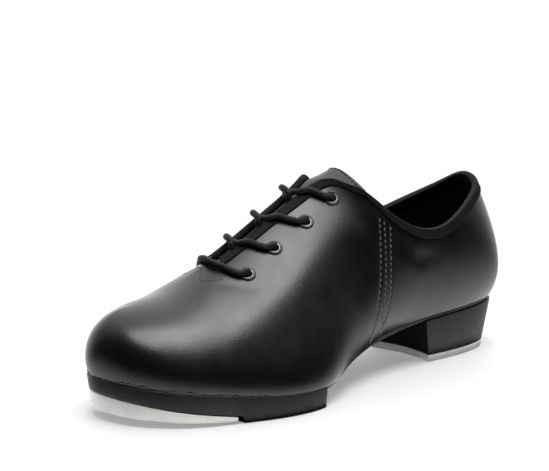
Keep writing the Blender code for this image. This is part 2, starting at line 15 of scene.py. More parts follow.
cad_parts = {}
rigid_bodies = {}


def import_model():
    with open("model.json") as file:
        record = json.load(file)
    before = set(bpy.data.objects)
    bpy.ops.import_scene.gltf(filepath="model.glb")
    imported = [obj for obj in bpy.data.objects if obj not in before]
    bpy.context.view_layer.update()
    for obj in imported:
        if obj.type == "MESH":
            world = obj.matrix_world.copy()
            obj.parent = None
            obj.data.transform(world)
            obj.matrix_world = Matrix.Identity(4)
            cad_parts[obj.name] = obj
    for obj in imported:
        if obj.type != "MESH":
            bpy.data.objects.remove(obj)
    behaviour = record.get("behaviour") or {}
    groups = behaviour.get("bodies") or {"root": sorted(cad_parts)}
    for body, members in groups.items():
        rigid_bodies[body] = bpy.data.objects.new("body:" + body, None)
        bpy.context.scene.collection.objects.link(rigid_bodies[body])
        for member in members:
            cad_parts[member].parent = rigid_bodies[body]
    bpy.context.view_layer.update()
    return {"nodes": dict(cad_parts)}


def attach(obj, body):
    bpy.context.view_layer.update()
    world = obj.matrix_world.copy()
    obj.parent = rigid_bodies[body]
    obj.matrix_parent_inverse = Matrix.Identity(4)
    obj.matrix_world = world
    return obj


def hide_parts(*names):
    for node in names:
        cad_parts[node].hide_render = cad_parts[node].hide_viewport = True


def table_of(kind, *rows):
    """A table whose rows have named columns."""
    return tuple(kind(*row) for row in rows)


MM = 0.001
BODY = "root"

# The last's own zero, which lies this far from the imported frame's origin
MIDDLE = np.array([0.13565, 0.00515, 0.0])
UP = np.array([0.0, 0.0, 1.0])

# Photo's frame and camera, in pixels, metres and degrees
PHOTO_WIDTH = 549
FOCAL = 1700
SENSOR = 36
CAMERA = np.array([0.7840, 0.7374, 0.2691])
CAMERA_AZIMUTH = 49.87
CAMERA_ELEVATION = 10.6
CAMERA_ROLL = -0.7

# Studio: soft boxes overhead, a pale backdrop by azimuth and elevation, the ground and dark cards on it
Softbox = namedtuple("Softbox", "name place size radiance")
SOFTBOXES = table_of(
    Softbox,
    ("overhead_front", (0.30, 0.45, 1.2), (1.08, 0.58), 8.6),
    ("overhead_back", (-0.45, 0.27, 1.2), (0.42, 0.42), 6.5),
)
BACKDROP = (-120, 40)
BACKDROP_LIGHT = 2.2
GROUND_LIGHT = 2.0
# Cards of painted shade seen in reflections: x and y ends of the card under the arch, then the margin round
# heel and forefoot
SHADE = ((-0.078, 0.06), (-0.12, 0.03))
SHADE_MARGIN = 0.0035
BACKDROP_EDGE = 0.1
HORIZON = 0.03
GROUND_FULL = 0.5
TOE_SIDE = (-5, 0)
TOE_DARKNESS = 0.3
FLOOR_WIDE = 1.2
FLOOR_DROP = 0.2 * MM
FLOOR_GLOW = 0.28
FLOOR_FADE = (0.22, 0.6)
WHITE = (1, 1, 1, 1)

# Thicknesses and clearances
GAP = 0.3 * MM
WALL = 1.8 * MM
LAP = 0.6 * MM
BINDING_THICK = 0.8 * MM
BINDING_INSIDE = 5.0 * MM
TONGUE_THICK = 2.4 * MM
TONGUE_DEPTH = 3.6 * MM
WAIST_THICK = 3.2 * MM
SEAT_THICK = 2.0 * MM
HEEL_TAP_THICK = 4.3 * MM
MERGE = 0.002 * MM

# Sections of the last in millimetres, a row for each from the heel's back to the toe's tip
Section = namedtuple(
    "Section",
    "out_x out_y in_x in_y top_x middle half top_z lean rise swell_out swell_in drop fall dip",
)
SECTIONS = table_of(
    Section,
    (-7, 0, -7, 0, 6, 0, 0, 109, 13, 16, 14, 14, 34, 0, 0),
    (-1, 17, -1, -17, 10, 0, 15, 106, 11.5, 16, 13, 13, 32, 0, 3.5),
    (13, 26.5, 13, -26.5, 24, 0, 25, 99, 9, 16, 10, 10, 26, 0, 4),
    (35, 30.5, 35, -30.5, 43, 0, 30.5, 89.5, 7, 16, 7, 7, 20, 0, 1.2),
    (60, 30.5, 60, -30, 62, 0, 32.5, 84, 7, 15, 5, 5, 16, 0, 0),
    (84, 29, 84, -28, 83, 0, 32, 88, 9.5, 15, 6, 6, 18, 0, 0),
    (106, 29.5, 106, -26.5, 101, -0.5, 28.5, 100, 12, 16, 9, 9, 28, 0, 0),
    (126, 33.5, 126, -27, 115, -1, 22.5, 113, 12.5, 17, 14, 14, 34, 0, 0),
    (143, 41, 144, -29.5, 127, -2, 9, 122, 11.5, 17, 23, 21, 26, -0.35, 0),
    (157, 49, 160, -33.5, 140, -3, 1.5, 117.5, 9.5, 17, 27, 23, 18, -0.5, 0),
    (172, 55.5, 176, -39, 160, -3.5, 0, 106.5, 7, 16, 29, 24, 18, -0.52, 0),
    (188, 57.5, 192, -44, 182, -4, 0, 93.5, 5, 15, 31, 26, 17, -0.55, 0),
    (205, 55.3, 209, -47, 203, -4, 0, 81.5, 4.5, 15, 30, 25, 10, -0.52, 0),
    (222, 50, 227, -46.5, 220, -5, 0, 72.6, 4.5, 15, 29, 27, 2, -0.45, 0),
    (240, 43.5, 245, -43.5, 236, -5.5, 0, 65.6, 4.5, 15.5, 29, 27, 0, -0.28, 0),
    (256, 35, 261, -38, 248, -6, 0, 63, 4.5, 16, 26, 25, 0, -0.17, 0),
    (269, 22.5, 272.5, -30, 257, -6.5, 0, 61.6, 5, 16.5, 22, 21, 0, -0.16, 0),
    (277.5, 8, 279, -20, 262, -7, 0, 60.8, 5.3, 16.5, 19.5, 19.5, 0, -0.16, 0),
    (281, -9, 281, -9, 264.5, -7.5, 0, 60.4, 5.3, 16.5, 18.5, 18.5, 0, -0.16, 0),
)
TOE = len(SECTIONS) - 1
LOOP = 2 * TOE

# Heights in millimetres at x: the feather line, then underside and top of the toe tap
Height = namedtuple("Height", "x z")
FEATHER = table_of(
    Height,
    (-15, 34.2), (0, 33.6), (30, 32.4), (66, 30.2), (88, 27.4), (108, 23.6), (128, 19.0), (148, 14.9),
    (166, 12.5), (186, 12.1), (206, 13.1), (226, 14.9), (250, 18.3), (268, 21.4), (285, 24.4),
)
TAP_LOW = table_of(Height, (222, 0.2), (240, 0.9), (260, 2.4), (284, 5.2))
TAP_HIGH = table_of(Height, (222, 2.6), (240, 5.6), (258, 8.8), (271, 12), (284, 16))

# Throat: half its width in millimetres at each section
Size = namedtuple("Size", "section size")
THROAT = table_of(
    Size,
    (7, 22.5), (7.25, 20.4), (7.5, 17.6), (8, 12), (8.5, 8.2), (9, 6.2), (10, 5.2), (11.9, 4.2),
    (12.1, 3.2), (12.25, 0),
)
THROAT_TOP = 7
THROAT_BASE = 12.25
THROAT_BLUR = 0.12
BINDING_END = 11.95
SEAM = 6.08
SEAM_STEP = 0.03
SEAM_BOW = 0.3
SEAM_REACH = 1.5

# Binding: its width on the outside in millimetres at a section, then its thickness across that width
BINDING_WIDTHS = table_of(Size, (0, 5.4), (4, 5.4), (5.6, 4.8), (6.6, 3.8), (7.5, 4), (8.5, 5), (12, 5.2))
Roll = namedtuple("Roll", "share thick")
BINDING_ROLL = table_of(
    Roll,
    (0.05, 0.9), (0.12, 1.12), (0.2, 1.12), (0.28, 1), (0.4, 1), (0.55, 1), (0.7, 1), (0.85, 1),
)
BINDING_INNER = (0.8, 0.6, 0.4, 0.2, 0.06)
FOLD_STEPS = 9

# Sole and heel: sections where the outline or the underside steps, in millimetres of inset
SOLE_EDGE = table_of(
    Size,
    (0, 0.5), (4.3, 0.5), (5.2, 1.5), (9.6, 1.5), (9.8, 1.2), (9.94, 0), (10.12, -1.2), (15, -1.2),
    (18, -1.8),
)
HEEL_FRONT = 4.33
PAD_BACK = 9.87
PAD_SLOPE = 0.16
PAD_FRONT = 13.2
BED_BACK = 13.28
TAP_BACK = 13.42
SOLE_DRAFT = 0.9 * MM
WAIST_DRAFT = 0.3 * MM
SOLE_BEVEL = 0.6 * MM
TAP_INSET = -0.1 * MM
TAP_BEVEL = 1.2 * MM
TAP_TOP_BEVEL = 0.6 * MM
HEEL_INSET = -0.2 * MM
HEEL_DRAFT = 4.6 * MM
HEEL_LEAN = 0.945
HEEL_BEVEL = 0.5 * MM
HEEL_TAP_INSET = 4.7 * MM
HEEL_TAP_DRAFT = 0.4 * MM
HEEL_TAP_BEVEL = 1.0 * MM
HOLLOW_START = 3
BREAST_HOLLOW = 4.2 * MM
BEVEL_STEPS = 4

# Eyelets: section and distance from the ridge in millimetres, then the ring's profile as radius and height
Spot = namedtuple("Spot", "section side")
EYELETS = table_of(Spot, (11.55, 20.1), (10.67, 18), (9.7, 17.2), (8.58, 16.2))
EYELET_HOLE = 3.4 * MM
EYELET_DEPTH = 2.4 * MM
EYELET_SIDES = 40
Turned = namedtuple("Turned", "radius rise")
EYELET_RING = table_of(
    Turned,
    (2.3, -2.4), (2.9, -2.4), (2.9, 0.45), (4.6, 0.45), (4.72, 0.62), (4.62, 0.9), (4.3, 1.18),
    (3.9, 1.3), (3.5, 1.22), (3.2, 1), (3.02, 1.02), (2.86, 1), (2.72, 0.86), (2.5, 0.3),
    (2.3, -0.6),
)
EYELET_BRIGHT = 3.1 * MM
EYELET_BARREL = 2.6 * MM

# Lace: its size, then the steps of a strand from its eyelet towards the next one down. forward is a share of
# the way to that section, side a share of the eyelet's distance from the ridge, lift is in millimetres and
# squash a share of the cord's height
LACE_RADIUS = 1.9 * MM
LACE_SIDES = 28
LACE_STEP = 0.25 * MM
LACE_SAMPLES = 6000
LACE_FLATTEST = 0.4
BRAID_PITCH = 2.2 * MM
BRAID_STRANDS = 6
BRAID_RELIEF = 0.09
Turn = namedtuple("Turn", "forward side lift squash", defaults=(1.0,))
UNDER_STRAND = table_of(
    Turn,
    (0, 0.97, 2.3),
    (0.15, 0.92, 2.2),
    (0.31, 0.77, 2.2),
    (0.43, 0.6, 2.4),
    (0.55, 0.44, 2.9),
    (0.68, 0.35, 2.5),
    (0.77, 0.2, 0.8, 0.85),
    (0.84, 0, -1, 0.65),
    (0.89, -0.28, -2.5, 0.42),
    (0.95, -0.62, -2.7, 0.42),
)
OVER_STRAND = table_of(
    Turn,
    (0, 0.97, 2.3),
    (0.2, 0.86, 2.2),
    (0.46, 0.57, 2.6),
    (0.62, 0.38, 3.2),
    (0.74, 0.22, 3.3),
    (0.84, 0.02, 3.2),
    (0.92, -0.13, 2.9),
    (0.97, -0.22, 1.2, 0.9),
    (1, -0.27, -1, 0.65),
    (1.03, -0.42, -2.5, 0.45),
    (1.02, -0.68, -2.7, 0.42),
)
BAR_STEPS = table_of(
    Turn,
    (0, 0.98, 2.3),
    (0.12, 0.95, 2.2),
    (0.25, 0.865, 2.1),
    (0.41, 0.637, 2.1),
    (0.53, 0.443, 2.4),
    (0.69, 0.224, 2.6),
    (0.77, 0, 2.3),
)
IN_HOLE = table_of(Turn, (0, 1.03, -2.6, 0.6), (0, 1.01, -0.4, 0.95))
END_DEPTH = -5.0

# Tongue: sections under the throat with its half width in millimetres, then the free end past the collar
TONGUE = table_of(Size, (12.7, 11), (12.2, 13), (11.5, 15), (10.7, 17), (9.9, 19), (9.2, 21), (8.7, 22))
TONGUE_SHARES = (-1, -0.8, -0.55, -0.28, 0, 0.28, 0.55, 0.8, 1)
TONGUE_CROWN = 1.2 * MM
Free = namedtuple("Free", "far wide arch")
TONGUE_END = table_of(Free, (0.4, 0.97, 1.0), (0.75, 0.93, 0.9), (1.0, 0.88, 0.74))
TONGUE_FREE = 21.5 * MM
TONGUE_CURL = 0.35
TONGUE_RISE = np.array([-0.96, 0.0, 0.28])
TONGUE_ROWS = 140
TONGUE_COLUMNS = 90
TONGUE_EDGE = 0.05
TONGUE_STITCH_ROW = 0.955
TONGUE_STITCH_ENDS = 4
TONGUE_STITCH_LIFT = 0.1 * MM
TONGUE_STITCH_PITCH = 2.6 * MM
TONGUE_STITCH_LONG = 2.1 * MM

# Creases of the leather, from one section and height share to another, with width and depth in millimetres
Crease = namedtuple("Crease", "side section share to_section to_share width depth")
CREASES = table_of(
    Crease,
    (1, 5.5, 0.8, 4.8, 0.68, 6, 0.4),
    (1, 4.8, 0.68, 4.2, 0.72, 6, 0.3),
    (1, 4.7, 0.84, 4.2, 0.78, 5, -0.2),
    (-1, 5.6, 0.72, 4.4, 0.66, 6, 0.45),
    (1, 12.3, 0.8, 11.6, 0.7, 4, 0.22),
    (-1, 12.3, 0.8, 11.6, 0.7, 4, 0.22),
)

# Soft swell of the vamp below the eyelets, as section at a height share, with width and height in millimetres
Mark = namedtuple("Mark", "section share")
SWELL_LINE = table_of(
    Mark,
    (7.7, 0.67), (8.3, 0.645), (9.1, 0.62), (9.8, 0.61), (10.7, 0.6), (11.8, 0.545), (12.5, 0.49),
)
SWELL_WIDTH = 15
SWELL_RISE = 1.5

# Stitch rows of the quarter seam, as section at a height share
SEAM_FRONT = table_of(Mark, (6.42, 0.9), (6.6, 0.76), (6.68, 0.62), (6.73, 0.48), (6.78, 0.32), (6.7, 0.06))
SEAM_EDGE = table_of(Mark, (6.24, 0.9), (6.35, 0.76), (6.42, 0.62), (6.44, 0.48), (6.4, 0.3), (6.22, 0.06))
SEAM_BACK = table_of(Mark, (5.9, 0.9), (6.03, 0.74), (6.08, 0.57), (6.08, 0.4), (6.12, 0.26), (6.18, 0.06))
SEAM_PITCH = 3.5 * MM
SEAM_LONG = 2.2 * MM
THREAD = 0.42 * MM
SEAM_POINTS = 60
GROOVE_POINTS = 12
GROOVE_WIDTH = 0.9
GROOVE_DEPTH = 0.36
STITCH_LIFT = 0.14 * MM

# Bead of glue just above the sole, as millimetres over the feather line at a section, then its waves
GLUE_LINE = table_of(
    Size,
    (12.4, 0.2), (13.2, 0.4), (13.8, 0.9), (14.3, 0.3), (14.8, 1.2), (15.4, 1.0), (15.8, 0.3),
    (16.2, 1.3), (16.9, 1.6), (17.3, 0.5), (18, 0.8),
)
Wave = namedtuple("Wave", "rate shift")
GLUE_WAVES = table_of(Wave, (9, 0), (14, 1), (27, 2))
GLUE_LIMITS = (-0.8, 2)
GLUE_MEAN = 0.5
GLUE_SWING = 0.25
GLUE_START = 12.4
GLUE_RINGS = 900
GLUE_SIDES = 6
GLUE_RADIUS = 0.6 * MM
GLUE_OUT = 0.1 * MM

# Stitched box at the throat's base, as section and distance from the ridge in millimetres
TACK_FRONT = table_of(Spot, (12.56, 0.2), (12.72, 4.3), (12.87, 8.6))
TACK_SIDE = table_of(Spot, (12.87, 8.6), (12.57, 12.0), (12.2, 14.9))
TACK_CROSS = table_of(Spot, (12.6, 1.7), (12.42, 6.6), (12.22, 11.6))
TACK_POINTS = 30
TACK_PITCH = 2.2 * MM
TACK_LONG = 1.9 * MM
TACK_SINK = 0.18 * MM

# One stitch of length 1 and radius 1: place along it, radius and height of its rings
Bulge = namedtuple("Bulge", "along radius rise")
STITCH = table_of(
    Bulge,
    (-0.5, 0.3, -0.9),
    (-0.4, 0.85, -0.2),
    (0, 1, 0.25),
    (0.4, 0.85, -0.2),
    (0.5, 0.3, -0.9),
)
STITCH_SIDES = 6

# Looks: shades and gloss run between two values by a texture. One number for a texture is the scale of
# plain noise, in cells a metre, and for a colour a grey. Depths of bumps are in millimetres
Noise = namedtuple("Noise", "scale detail stretch", defaults=(3.0, (1, 1, 1)))
Cells = namedtuple("Cells", "scale")
Range = namedtuple("Range", "texture low high")
Bump = namedtuple("Bump", "texture strength depth")
Look = namedtuple("Look", "colour roughness shades gloss bumps metallic specular", defaults=(0.0, 0.5))
LOOKS = {
    "upper_leather": Look(
        (0.0028, 0.0028, 0.0031), 0.3,
        Range(60, (0.0023, 0.0023, 0.0026), (0.0035, 0.0035, 0.0038)),
        Range(90, 0.27, 0.34),
        (Bump(Noise(40, 1.0), 0.25, 0.5), Bump(Cells(900), 0.18, 0.15), Bump(2600, 0.15, 0.1)),
    ),
    "lining_cloth": Look(0.004, 0.9, Range(700, 0.003, 0.006), None, (Bump(1800, 0.5, 0.2),), specular=0.1),
    "binding_tape": Look(
        0.0035, 0.65, Range(900, 0.0025, 0.005), None, (Bump(1500, 0.35, 0.2),), specular=0.14
    ),
    "tongue_leather": Look(
        (0.01, 0.01, 0.0105), 0.5,
        Range(80, (0.008, 0.008, 0.0085), (0.013, 0.013, 0.0135)),
        Range(120, 0.46, 0.56),
        (Bump(Cells(1000), 0.3, 0.2), Bump(2400, 0.2, 0.1)),
    ),
    "lace_cord": Look(0.0035, 0.5, Range(800, 0.0025, 0.0055), None, (Bump(3000, 0.4, 0.15),), specular=0.2),
    "seam_thread": Look(0.16, 0.55, Range(900, 0.05, 0.16), None, (Bump(4000, 0.3, 0.1),)),
    "dark_thread": Look(0.006, 0.55, Range(900, 0.003, 0.006), None, (Bump(4000, 0.3, 0.1),)),
    "sole_rubber": Look(
        0.005, 0.45,
        Range(150, 0.004, 0.007),
        Range(200, 0.36, 0.5),
        (Bump(1400, 0.15, 0.1), Bump(Noise(40, 2.0, (1, 1, 30)), 0.06, 0.1)),
        specular=0.35,
    ),
    "glue": Look(0.004, 0.25, None, Range(400, 0.18, 0.34), (Bump(1200, 0.4, 0.3),)),
    "tap_metal": Look(
        (0.92, 0.91, 0.89), 0.48,
        Range(90, (0.86, 0.85, 0.83), (0.97, 0.96, 0.94)),
        Range(Noise(30, 3.0, (1, 1, 40)), 0.42, 0.56),
        (Bump(Noise(40, 3.0, (1, 1, 60)), 0.12, 0.1), Bump(1500, 0.06, 0.1)),
        metallic=0.5,
    ),
    "eyelet_enamel": Look(0.008, 0.35, None, Range(600, 0.28, 0.42), (Bump(1500, 0.1, 0.05),)),
    "eyelet_nickel": Look((0.32, 0.32, 0.31), 0.35, None, Range(900, 0.3, 0.42), (), metallic=1.0),
    "floor_white": Look(0.47, 0.6, None, None, (), specular=0.1),
    "shade_black": Look(0.002, 1.0, None, None, (), specular=0.0),
}
TEXTURE_ENDS = (0.3, 0.7)
CELL_SMOOTHNESS = 0.5

# Mesh steps
Run = namedtuple("Run", "start end steps")
UPPER_RUNS = table_of(
    Run,
    (0, 5.6, 64),
    (5.6, SEAM - SEAM_STEP, 26),
    (SEAM - SEAM_STEP, SEAM + SEAM_STEP, 6),
    (SEAM + SEAM_STEP, THROAT_TOP, 26),
    (THROAT_TOP, 9, 34),
    (9, BINDING_END, 40),
    (BINDING_END, THROAT_BASE, 12),
    (THROAT_BASE, 13, 12),
    (13, TOE, 60),
)
WALL_STEPS = 110
LINING_STEPS = 44
BINDING_RUNS = table_of(Run, (0, BINDING_END, 720))
RIB_PITCH = 1.5 * MM
RIB_RELIEF = 0.14 * MM
SOLE_RUNS = table_of(
    Run,
    (0, 1, 30),
    (1, HEEL_FRONT, 50),
    (HEEL_FRONT, 9.6, 60),
    (9.8, 10.16, 24),
    (10.16, PAD_FRONT, 50),
    (BED_BACK, 17, 60),
    (17, TOE, 40),
)
TAP_RUNS = table_of(Run, (TAP_BACK, 17, 70), (17, TOE, 40))
HEEL_RUNS = table_of(Run, (0, 1, 40), (1, HEEL_FRONT, 60))
SHADE_RUNS = table_of(Run, (0, HEEL_FRONT, 30), (PAD_BACK, TOE, 60))
HOLLOW_POINTS = 25
SLOPE_STEP = 0.01
NEAR_TOP = 0.985
LOWEST_SHARE = 0.4
HALVINGS = 30
SHARP = math.radians(35)

Wall = namedtuple("Wall", "foot top middle lean rise swell drop fall")


class Spline:
    """Natural cubic spline through the rows of a table."""

    def __init__(self, knots, rows):
        self.knots = np.asarray(knots, float)
        self.rows = np.asarray(rows, float).reshape(len(self.knots), -1)
        self.shape = np.asarray(rows).shape[1:]
        self.step = np.diff(self.knots)
        system = np.eye(len(self.knots))
        right = np.zeros_like(self.rows)
        for i in range(1, len(self.knots) - 1):
            before, after = self.step[i - 1], self.step[i]
            system[i, i - 1 : i + 2] = before, 2 * (before + after), after
            rate = (self.rows[i + 1] - self.rows[i]) / after - (self.rows[i] - self.rows[i - 1]) / before
            right[i] = 6 * rate
        self.bend = np.linalg.solve(system, right)

    def __call__(self, at):
        at = np.asarray(at, float)
        i = np.clip(np.searchsorted(self.knots, at) - 1, 0, len(self.knots) - 2)
        wide = self.step[i][..., None]
        past = (at - self.knots[i])[..., None]
        left = wide - past
        out = (self.bend[i] * left**3 + self.bend[i + 1] * past**3) / (6 * wide)
        out = out + (self.rows[i] / wide - self.bend[i] * wide / 6) * left
        out = out + (self.rows[i + 1] / wide - self.bend[i + 1] * wide / 6) * past
        return out.reshape(at.shape + self.shape)


def ring_table():
    """The sections once round: out along the outer side to the toe, back along the inner side."""
    outer = []
    inner = []
    for s in SECTIONS:
        across = (s.top_x, s.middle)
        edges = (s.lean, s.rise)
        ends = (s.drop, s.fall)
        outer.append((s.out_x, s.out_y, *across, s.half, s.top_z, *edges, s.swell_out, *ends))
        inner.append((s.in_x, s.in_y, *across, -s.half, s.top_z - s.dip, *edges, s.swell_in, *ends))
    table = np.array(outer + inner[-2:0:-1], float)
    table[:, :-1] *= MM
    return table


def height_line(table):
    rows = np.array(table, float) * MM
    return Spline(rows[:, 0], rows[:, 1])


RING = ring_table()
WALL_LINE = Spline(np.arange(-LOOP, 2 * LOOP), np.concatenate([RING, RING, RING]))
FEATHER_LINE = height_line(FEATHER)
TAP_LOW_LINE = height_line(TAP_LOW)
TAP_HIGH_LINE = height_line(TAP_HIGH)


def unit(vectors):
    return vectors / np.linalg.norm(vectors, axis=-1, keepdims=True)


def read(table, at):
    """Second column of a table, in metres, between its rows."""
    columns = np.array(table, float)
    return np.interp(at, columns[:, 0], columns[:, 1] * MM)


def distances(path, power=1):
    """Length along a path up to each of its points, from steps raised to a power."""
    return np.concatenate([[0], np.cumsum(np.linalg.norm(np.diff(path, axis=0), axis=-1) ** power)])


def between(at, knots, rows):
    """Rows read at places between their knots, column by column."""
    return np.stack([np.interp(at, knots, column) for column in rows.T], -1)


def smooth(rows, count):
    """Even steps along a spline through the rows of a table."""
    return Spline(np.arange(len(rows)), np.array(rows, float))(np.linspace(0, len(rows) - 1, count))


def matched(*values):
    """Arrays of numbers brought to one shape."""
    return np.broadcast_arrays(*(np.asarray(value, float) for value in values))


def circle(count):
    """Even angles once round."""
    return np.linspace(0, 2 * np.pi, count, endpoint=False)


def side_of(u):
    """Section number counted from the heel on either side."""
    u = np.mod(u, LOOP)
    return np.minimum(u, LOOP - u)


def wall_at(u):
    """The wall's section at u."""
    row = WALL_LINE(np.mod(u, LOOP))
    foot = np.stack([row[..., 0], row[..., 1], FEATHER_LINE(row[..., 0])], -1)
    half = np.where(side_of(u) < THROAT_BASE - 1, row[..., 4], 0)
    top = np.stack([row[..., 2], row[..., 3] + half, row[..., 5]], -1)
    return Wall(foot, top, row[..., 3], *(row[..., k, None] for k in range(6, 11)))


def outward(u):
    """Level direction away from the foot outline at u."""
    ahead = wall_at(u + SLOPE_STEP).foot - wall_at(u - SLOPE_STEP).foot
    return unit(np.stack([-ahead[..., 1], ahead[..., 0], np.zeros_like(ahead[..., 0])], -1))


def wall(u, v):
    """Point of the last's outer face: u counts sections round the shoe, v climbs from the sole to the top."""
    u, v = matched(u, v)
    row = wall_at(u)
    away = outward(u)
    low = row.foot + row.lean * away + row.rise * UP
    high = row.top + row.swell * (away + row.fall * away[..., :1] * UP) - row.drop * UP
    v = v[..., None]
    w = 1 - v
    return row.foot * w**3 + 3 * low * v * w**2 + 3 * high * v**2 * w + row.top * v**3


def facing(u, v):
    """Unit vector out of the wall at (u, v), read just under the ridge where the sections fan out."""
    v = np.minimum(v, NEAR_TOP)
    along = wall(u + SLOPE_STEP, v) - wall(u - SLOPE_STEP, v)
    climb = wall(u, v + SLOPE_STEP) - wall(u, np.maximum(v - SLOPE_STEP, 0))
    return unit(np.cross(climb, along))


def normal(u, v):
    """Facing direction, shared by both sides where they meet along the ridge."""
    u, v = matched(u, v)
    own = facing(u, v)
    both = unit(own + facing(LOOP - u, v))
    on_ridge = (v > 1 - MERGE) & (side_of(u) > THROAT_BASE - SLOPE_STEP)
    return np.where(on_ridge[..., None], both, own)


def bow(v):
    """How far the quarter seam runs forward of its ends at v."""
    return SEAM_BOW * 4 * v * (1 - v)


def bend(u, v):
    """Section number at v of a column that starts at u, so that columns follow the bowed seam."""
    near = np.clip(1 - np.abs(side_of(u) - SEAM) / SEAM_REACH, 0, 1)
    return u + np.where(np.mod(u, LOOP) < TOE, 1, -1) * near * bow(v)


def skin(u, v, depth):
    """Point at a depth under the upper's outer face, whose front panel laps over the quarters."""
    u, v = matched(u, v)
    share = np.clip((side_of(u) - SEAM - bow(v)) / SEAM_STEP + 0.5, 0, 1)
    lap = LAP * share * share * (3 - 2 * share)
    return wall(u, v) + (lap - depth)[..., None] * normal(u, v)


def share_at(u, reach):
    """Share of the wall's height where it comes within reach of the ridge, 1 where it never does."""
    u, reach = matched(u, reach)
    low = np.full(u.shape, LOWEST_SHARE)
    high = np.ones(u.shape)
    for _ in range(HALVINGS):
        mid = (low + high) / 2
        far = np.abs(wall(u, mid)[..., 1] - wall_at(u).middle) > reach
        low = np.where(far, mid, low)
        high = np.where(far, high, mid)
    return high


def throat_half(s):
    """Half the throat's width at a section, with the table's corners rounded off."""
    blur = np.minimum(THROAT_BLUR, np.maximum(np.minimum(s - THROAT_TOP, THROAT_BASE - s), 0) / 2)
    return np.mean([read(THROAT, s + shift * blur) for shift in (-1, -0.5, 0, 0.5, 1)], axis=0)


def edge_share(u):
    """Share of the wall's height at the upper's top edge: the collar, the throat's edge or the ridge."""
    s = side_of(u)
    cut = share_at(u, throat_half(s))
    return np.where((s > THROAT_TOP) & (s < THROAT_BASE - MERGE), cut, 1.0)


def over(section, side, lift):
    """Points above the upper at a section and a signed distance from the ridge, over the open throat too."""
    section, side = matched(section, side)
    u = np.where(side >= 0, section, LOOP - section)
    v = share_at(u, np.abs(side))
    return skin(u, v, -np.asarray(lift, float)), normal(u, v)


def stations(runs):
    """Section numbers along runs of even steps."""
    return np.unique(np.concatenate([np.linspace(run.start, run.end, run.steps + 1) for run in runs]))


def band(first, second, count, closed=False):
    """Quads between two rows of points that start at the given indices."""
    i = np.arange(count if closed else count - 1)
    j = (i + 1) % count
    return np.stack([first + i, first + j, second + j, second + i], -1).tolist()


def sheet(first, rows, count):
    """Quads of a grid of points that starts at an index."""
    starts = range(first, first + (rows - 1) * count, count)
    return [quad for start in starts for quad in band(start, start + count, count)]


def tube_faces(rings, count):
    """Faces of a run of closed rings with both ends capped."""
    faces = []
    for k in range(rings - 1):
        faces += band(k * count, (k + 1) * count, count, True)
    faces.append(list(range(count)))
    faces.append([(rings - 1) * count + i for i in range(count)])
    return faces


def put(name, data):
    """A new object in the scene."""
    made = bpy.data.objects.new(name, data)
    bpy.context.scene.collection.objects.link(made)
    return made


def new_mesh(name, points, faces, zero=MIDDLE):
    """A mesh from points, in the last's frame unless another zero is given."""
    mesh = bpy.data.meshes.new(name)
    mesh.from_pydata(np.asarray(points).reshape(-1, 3) - zero, [], faces)
    return mesh


def mend(mesh):
    """Joins points that meet and turns the faces outwards."""
    work = bmesh.new()
    work.from_mesh(mesh)
    bmesh.ops.remove_doubles(work, verts=work.verts[:], dist=MERGE)
    bmesh.ops.recalc_face_normals(work, faces=work.faces[:])
    work.to_mesh(mesh)
    work.free()


def piece(name, points, faces, finish, slot, nodes=(), second=None):
    """A smooth mesh that rides on the shoe. second gives another material and the faces that take it."""
    mesh = new_mesh(name, points, faces)
    mesh.materials.append(finish)
    if second:
        mesh.materials.append(second[0])
        mesh.polygons.foreach_set("material_index", np.asarray(second[1], np.int32))
    mend(mesh)
    mesh.shade_smooth()
    mesh.set_sharp_from_angle(angle=SHARP)
    made = put(name, mesh)
    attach(made, BODY)
    if nodes:
        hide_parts(*nodes)
    return made


def lathe(place, axis, profile, sides):
    """Rings of points turned about an axis, from (radius, height) pairs."""
    first = unit(np.cross(axis, (0.0, 1.0, 0.0)))
    second = np.cross(axis, first)
    angle = circle(sides)[:, None]
    spoke = np.cos(angle) * first + np.sin(angle) * second
    return [place + radius * spoke + rise * axis for radius, rise in profile]


# Materials
def rgba(colour):
    """A colour with full cover, from three numbers or one grey."""
    return (*colour, 1) if isinstance(colour, tuple) else (colour, colour, colour, 1)


def fill(node, **values):
    """Sets input values by name, where _ stands for a space."""
    for key, value in values.items():
        node.inputs[key.replace("_", " ")].default_value = value
    return node


def add(made, kind, **values):
    return fill(made.node_tree.nodes.new(kind), **values)


def join(made, start, end):
    made.node_tree.links.new(start, end)


def texture(made, kind):
    """Noise or cells over the object's own coordinates."""
    place = add(made, "ShaderNodeTexCoord").outputs["Object"]
    if isinstance(kind, Cells):
        new = add(made, "ShaderNodeTexVoronoi")
        new.feature = "SMOOTH_F1"
        fill(new, Scale=kind.scale, Smoothness=CELL_SMOOTHNESS)
        join(made, place, new.inputs["Vector"])
        return new.outputs["Distance"]
    noise = kind if isinstance(kind, Noise) else Noise(kind)
    stretched = add(made, "ShaderNodeMapping", Scale=noise.stretch)
    new = add(made, "ShaderNodeTexNoise", Scale=noise.scale, Detail=noise.detail)
    join(made, place, stretched.inputs["Vector"])
    join(made, stretched.outputs["Vector"], new.inputs["Vector"])
    return new.outputs["Fac"]


def shade(made, shader, shades):
    """Base colour between two shades by a texture."""
    tones = add(made, "ShaderNodeValToRGB")
    dark, light = tones.color_ramp.elements
    dark.position, light.position = TEXTURE_ENDS
    dark.color, light.color = rgba(shades.low), rgba(shades.high)
    join(made, texture(made, shades.texture), tones.inputs["Fac"])
    join(made, tones.outputs["Color"], shader.inputs["Base Color"])


def ramp(made, source, start, end, high, low=0.0, kind="LINEAR"):
    """Maps a value from one range to another and stops at its ends."""
    mapped = add(made, "ShaderNodeMapRange", From_Min=start, From_Max=end, To_Min=low, To_Max=high)
    mapped.interpolation_type = kind
    join(made, source, mapped.inputs["Value"])
    return mapped.outputs["Result"]


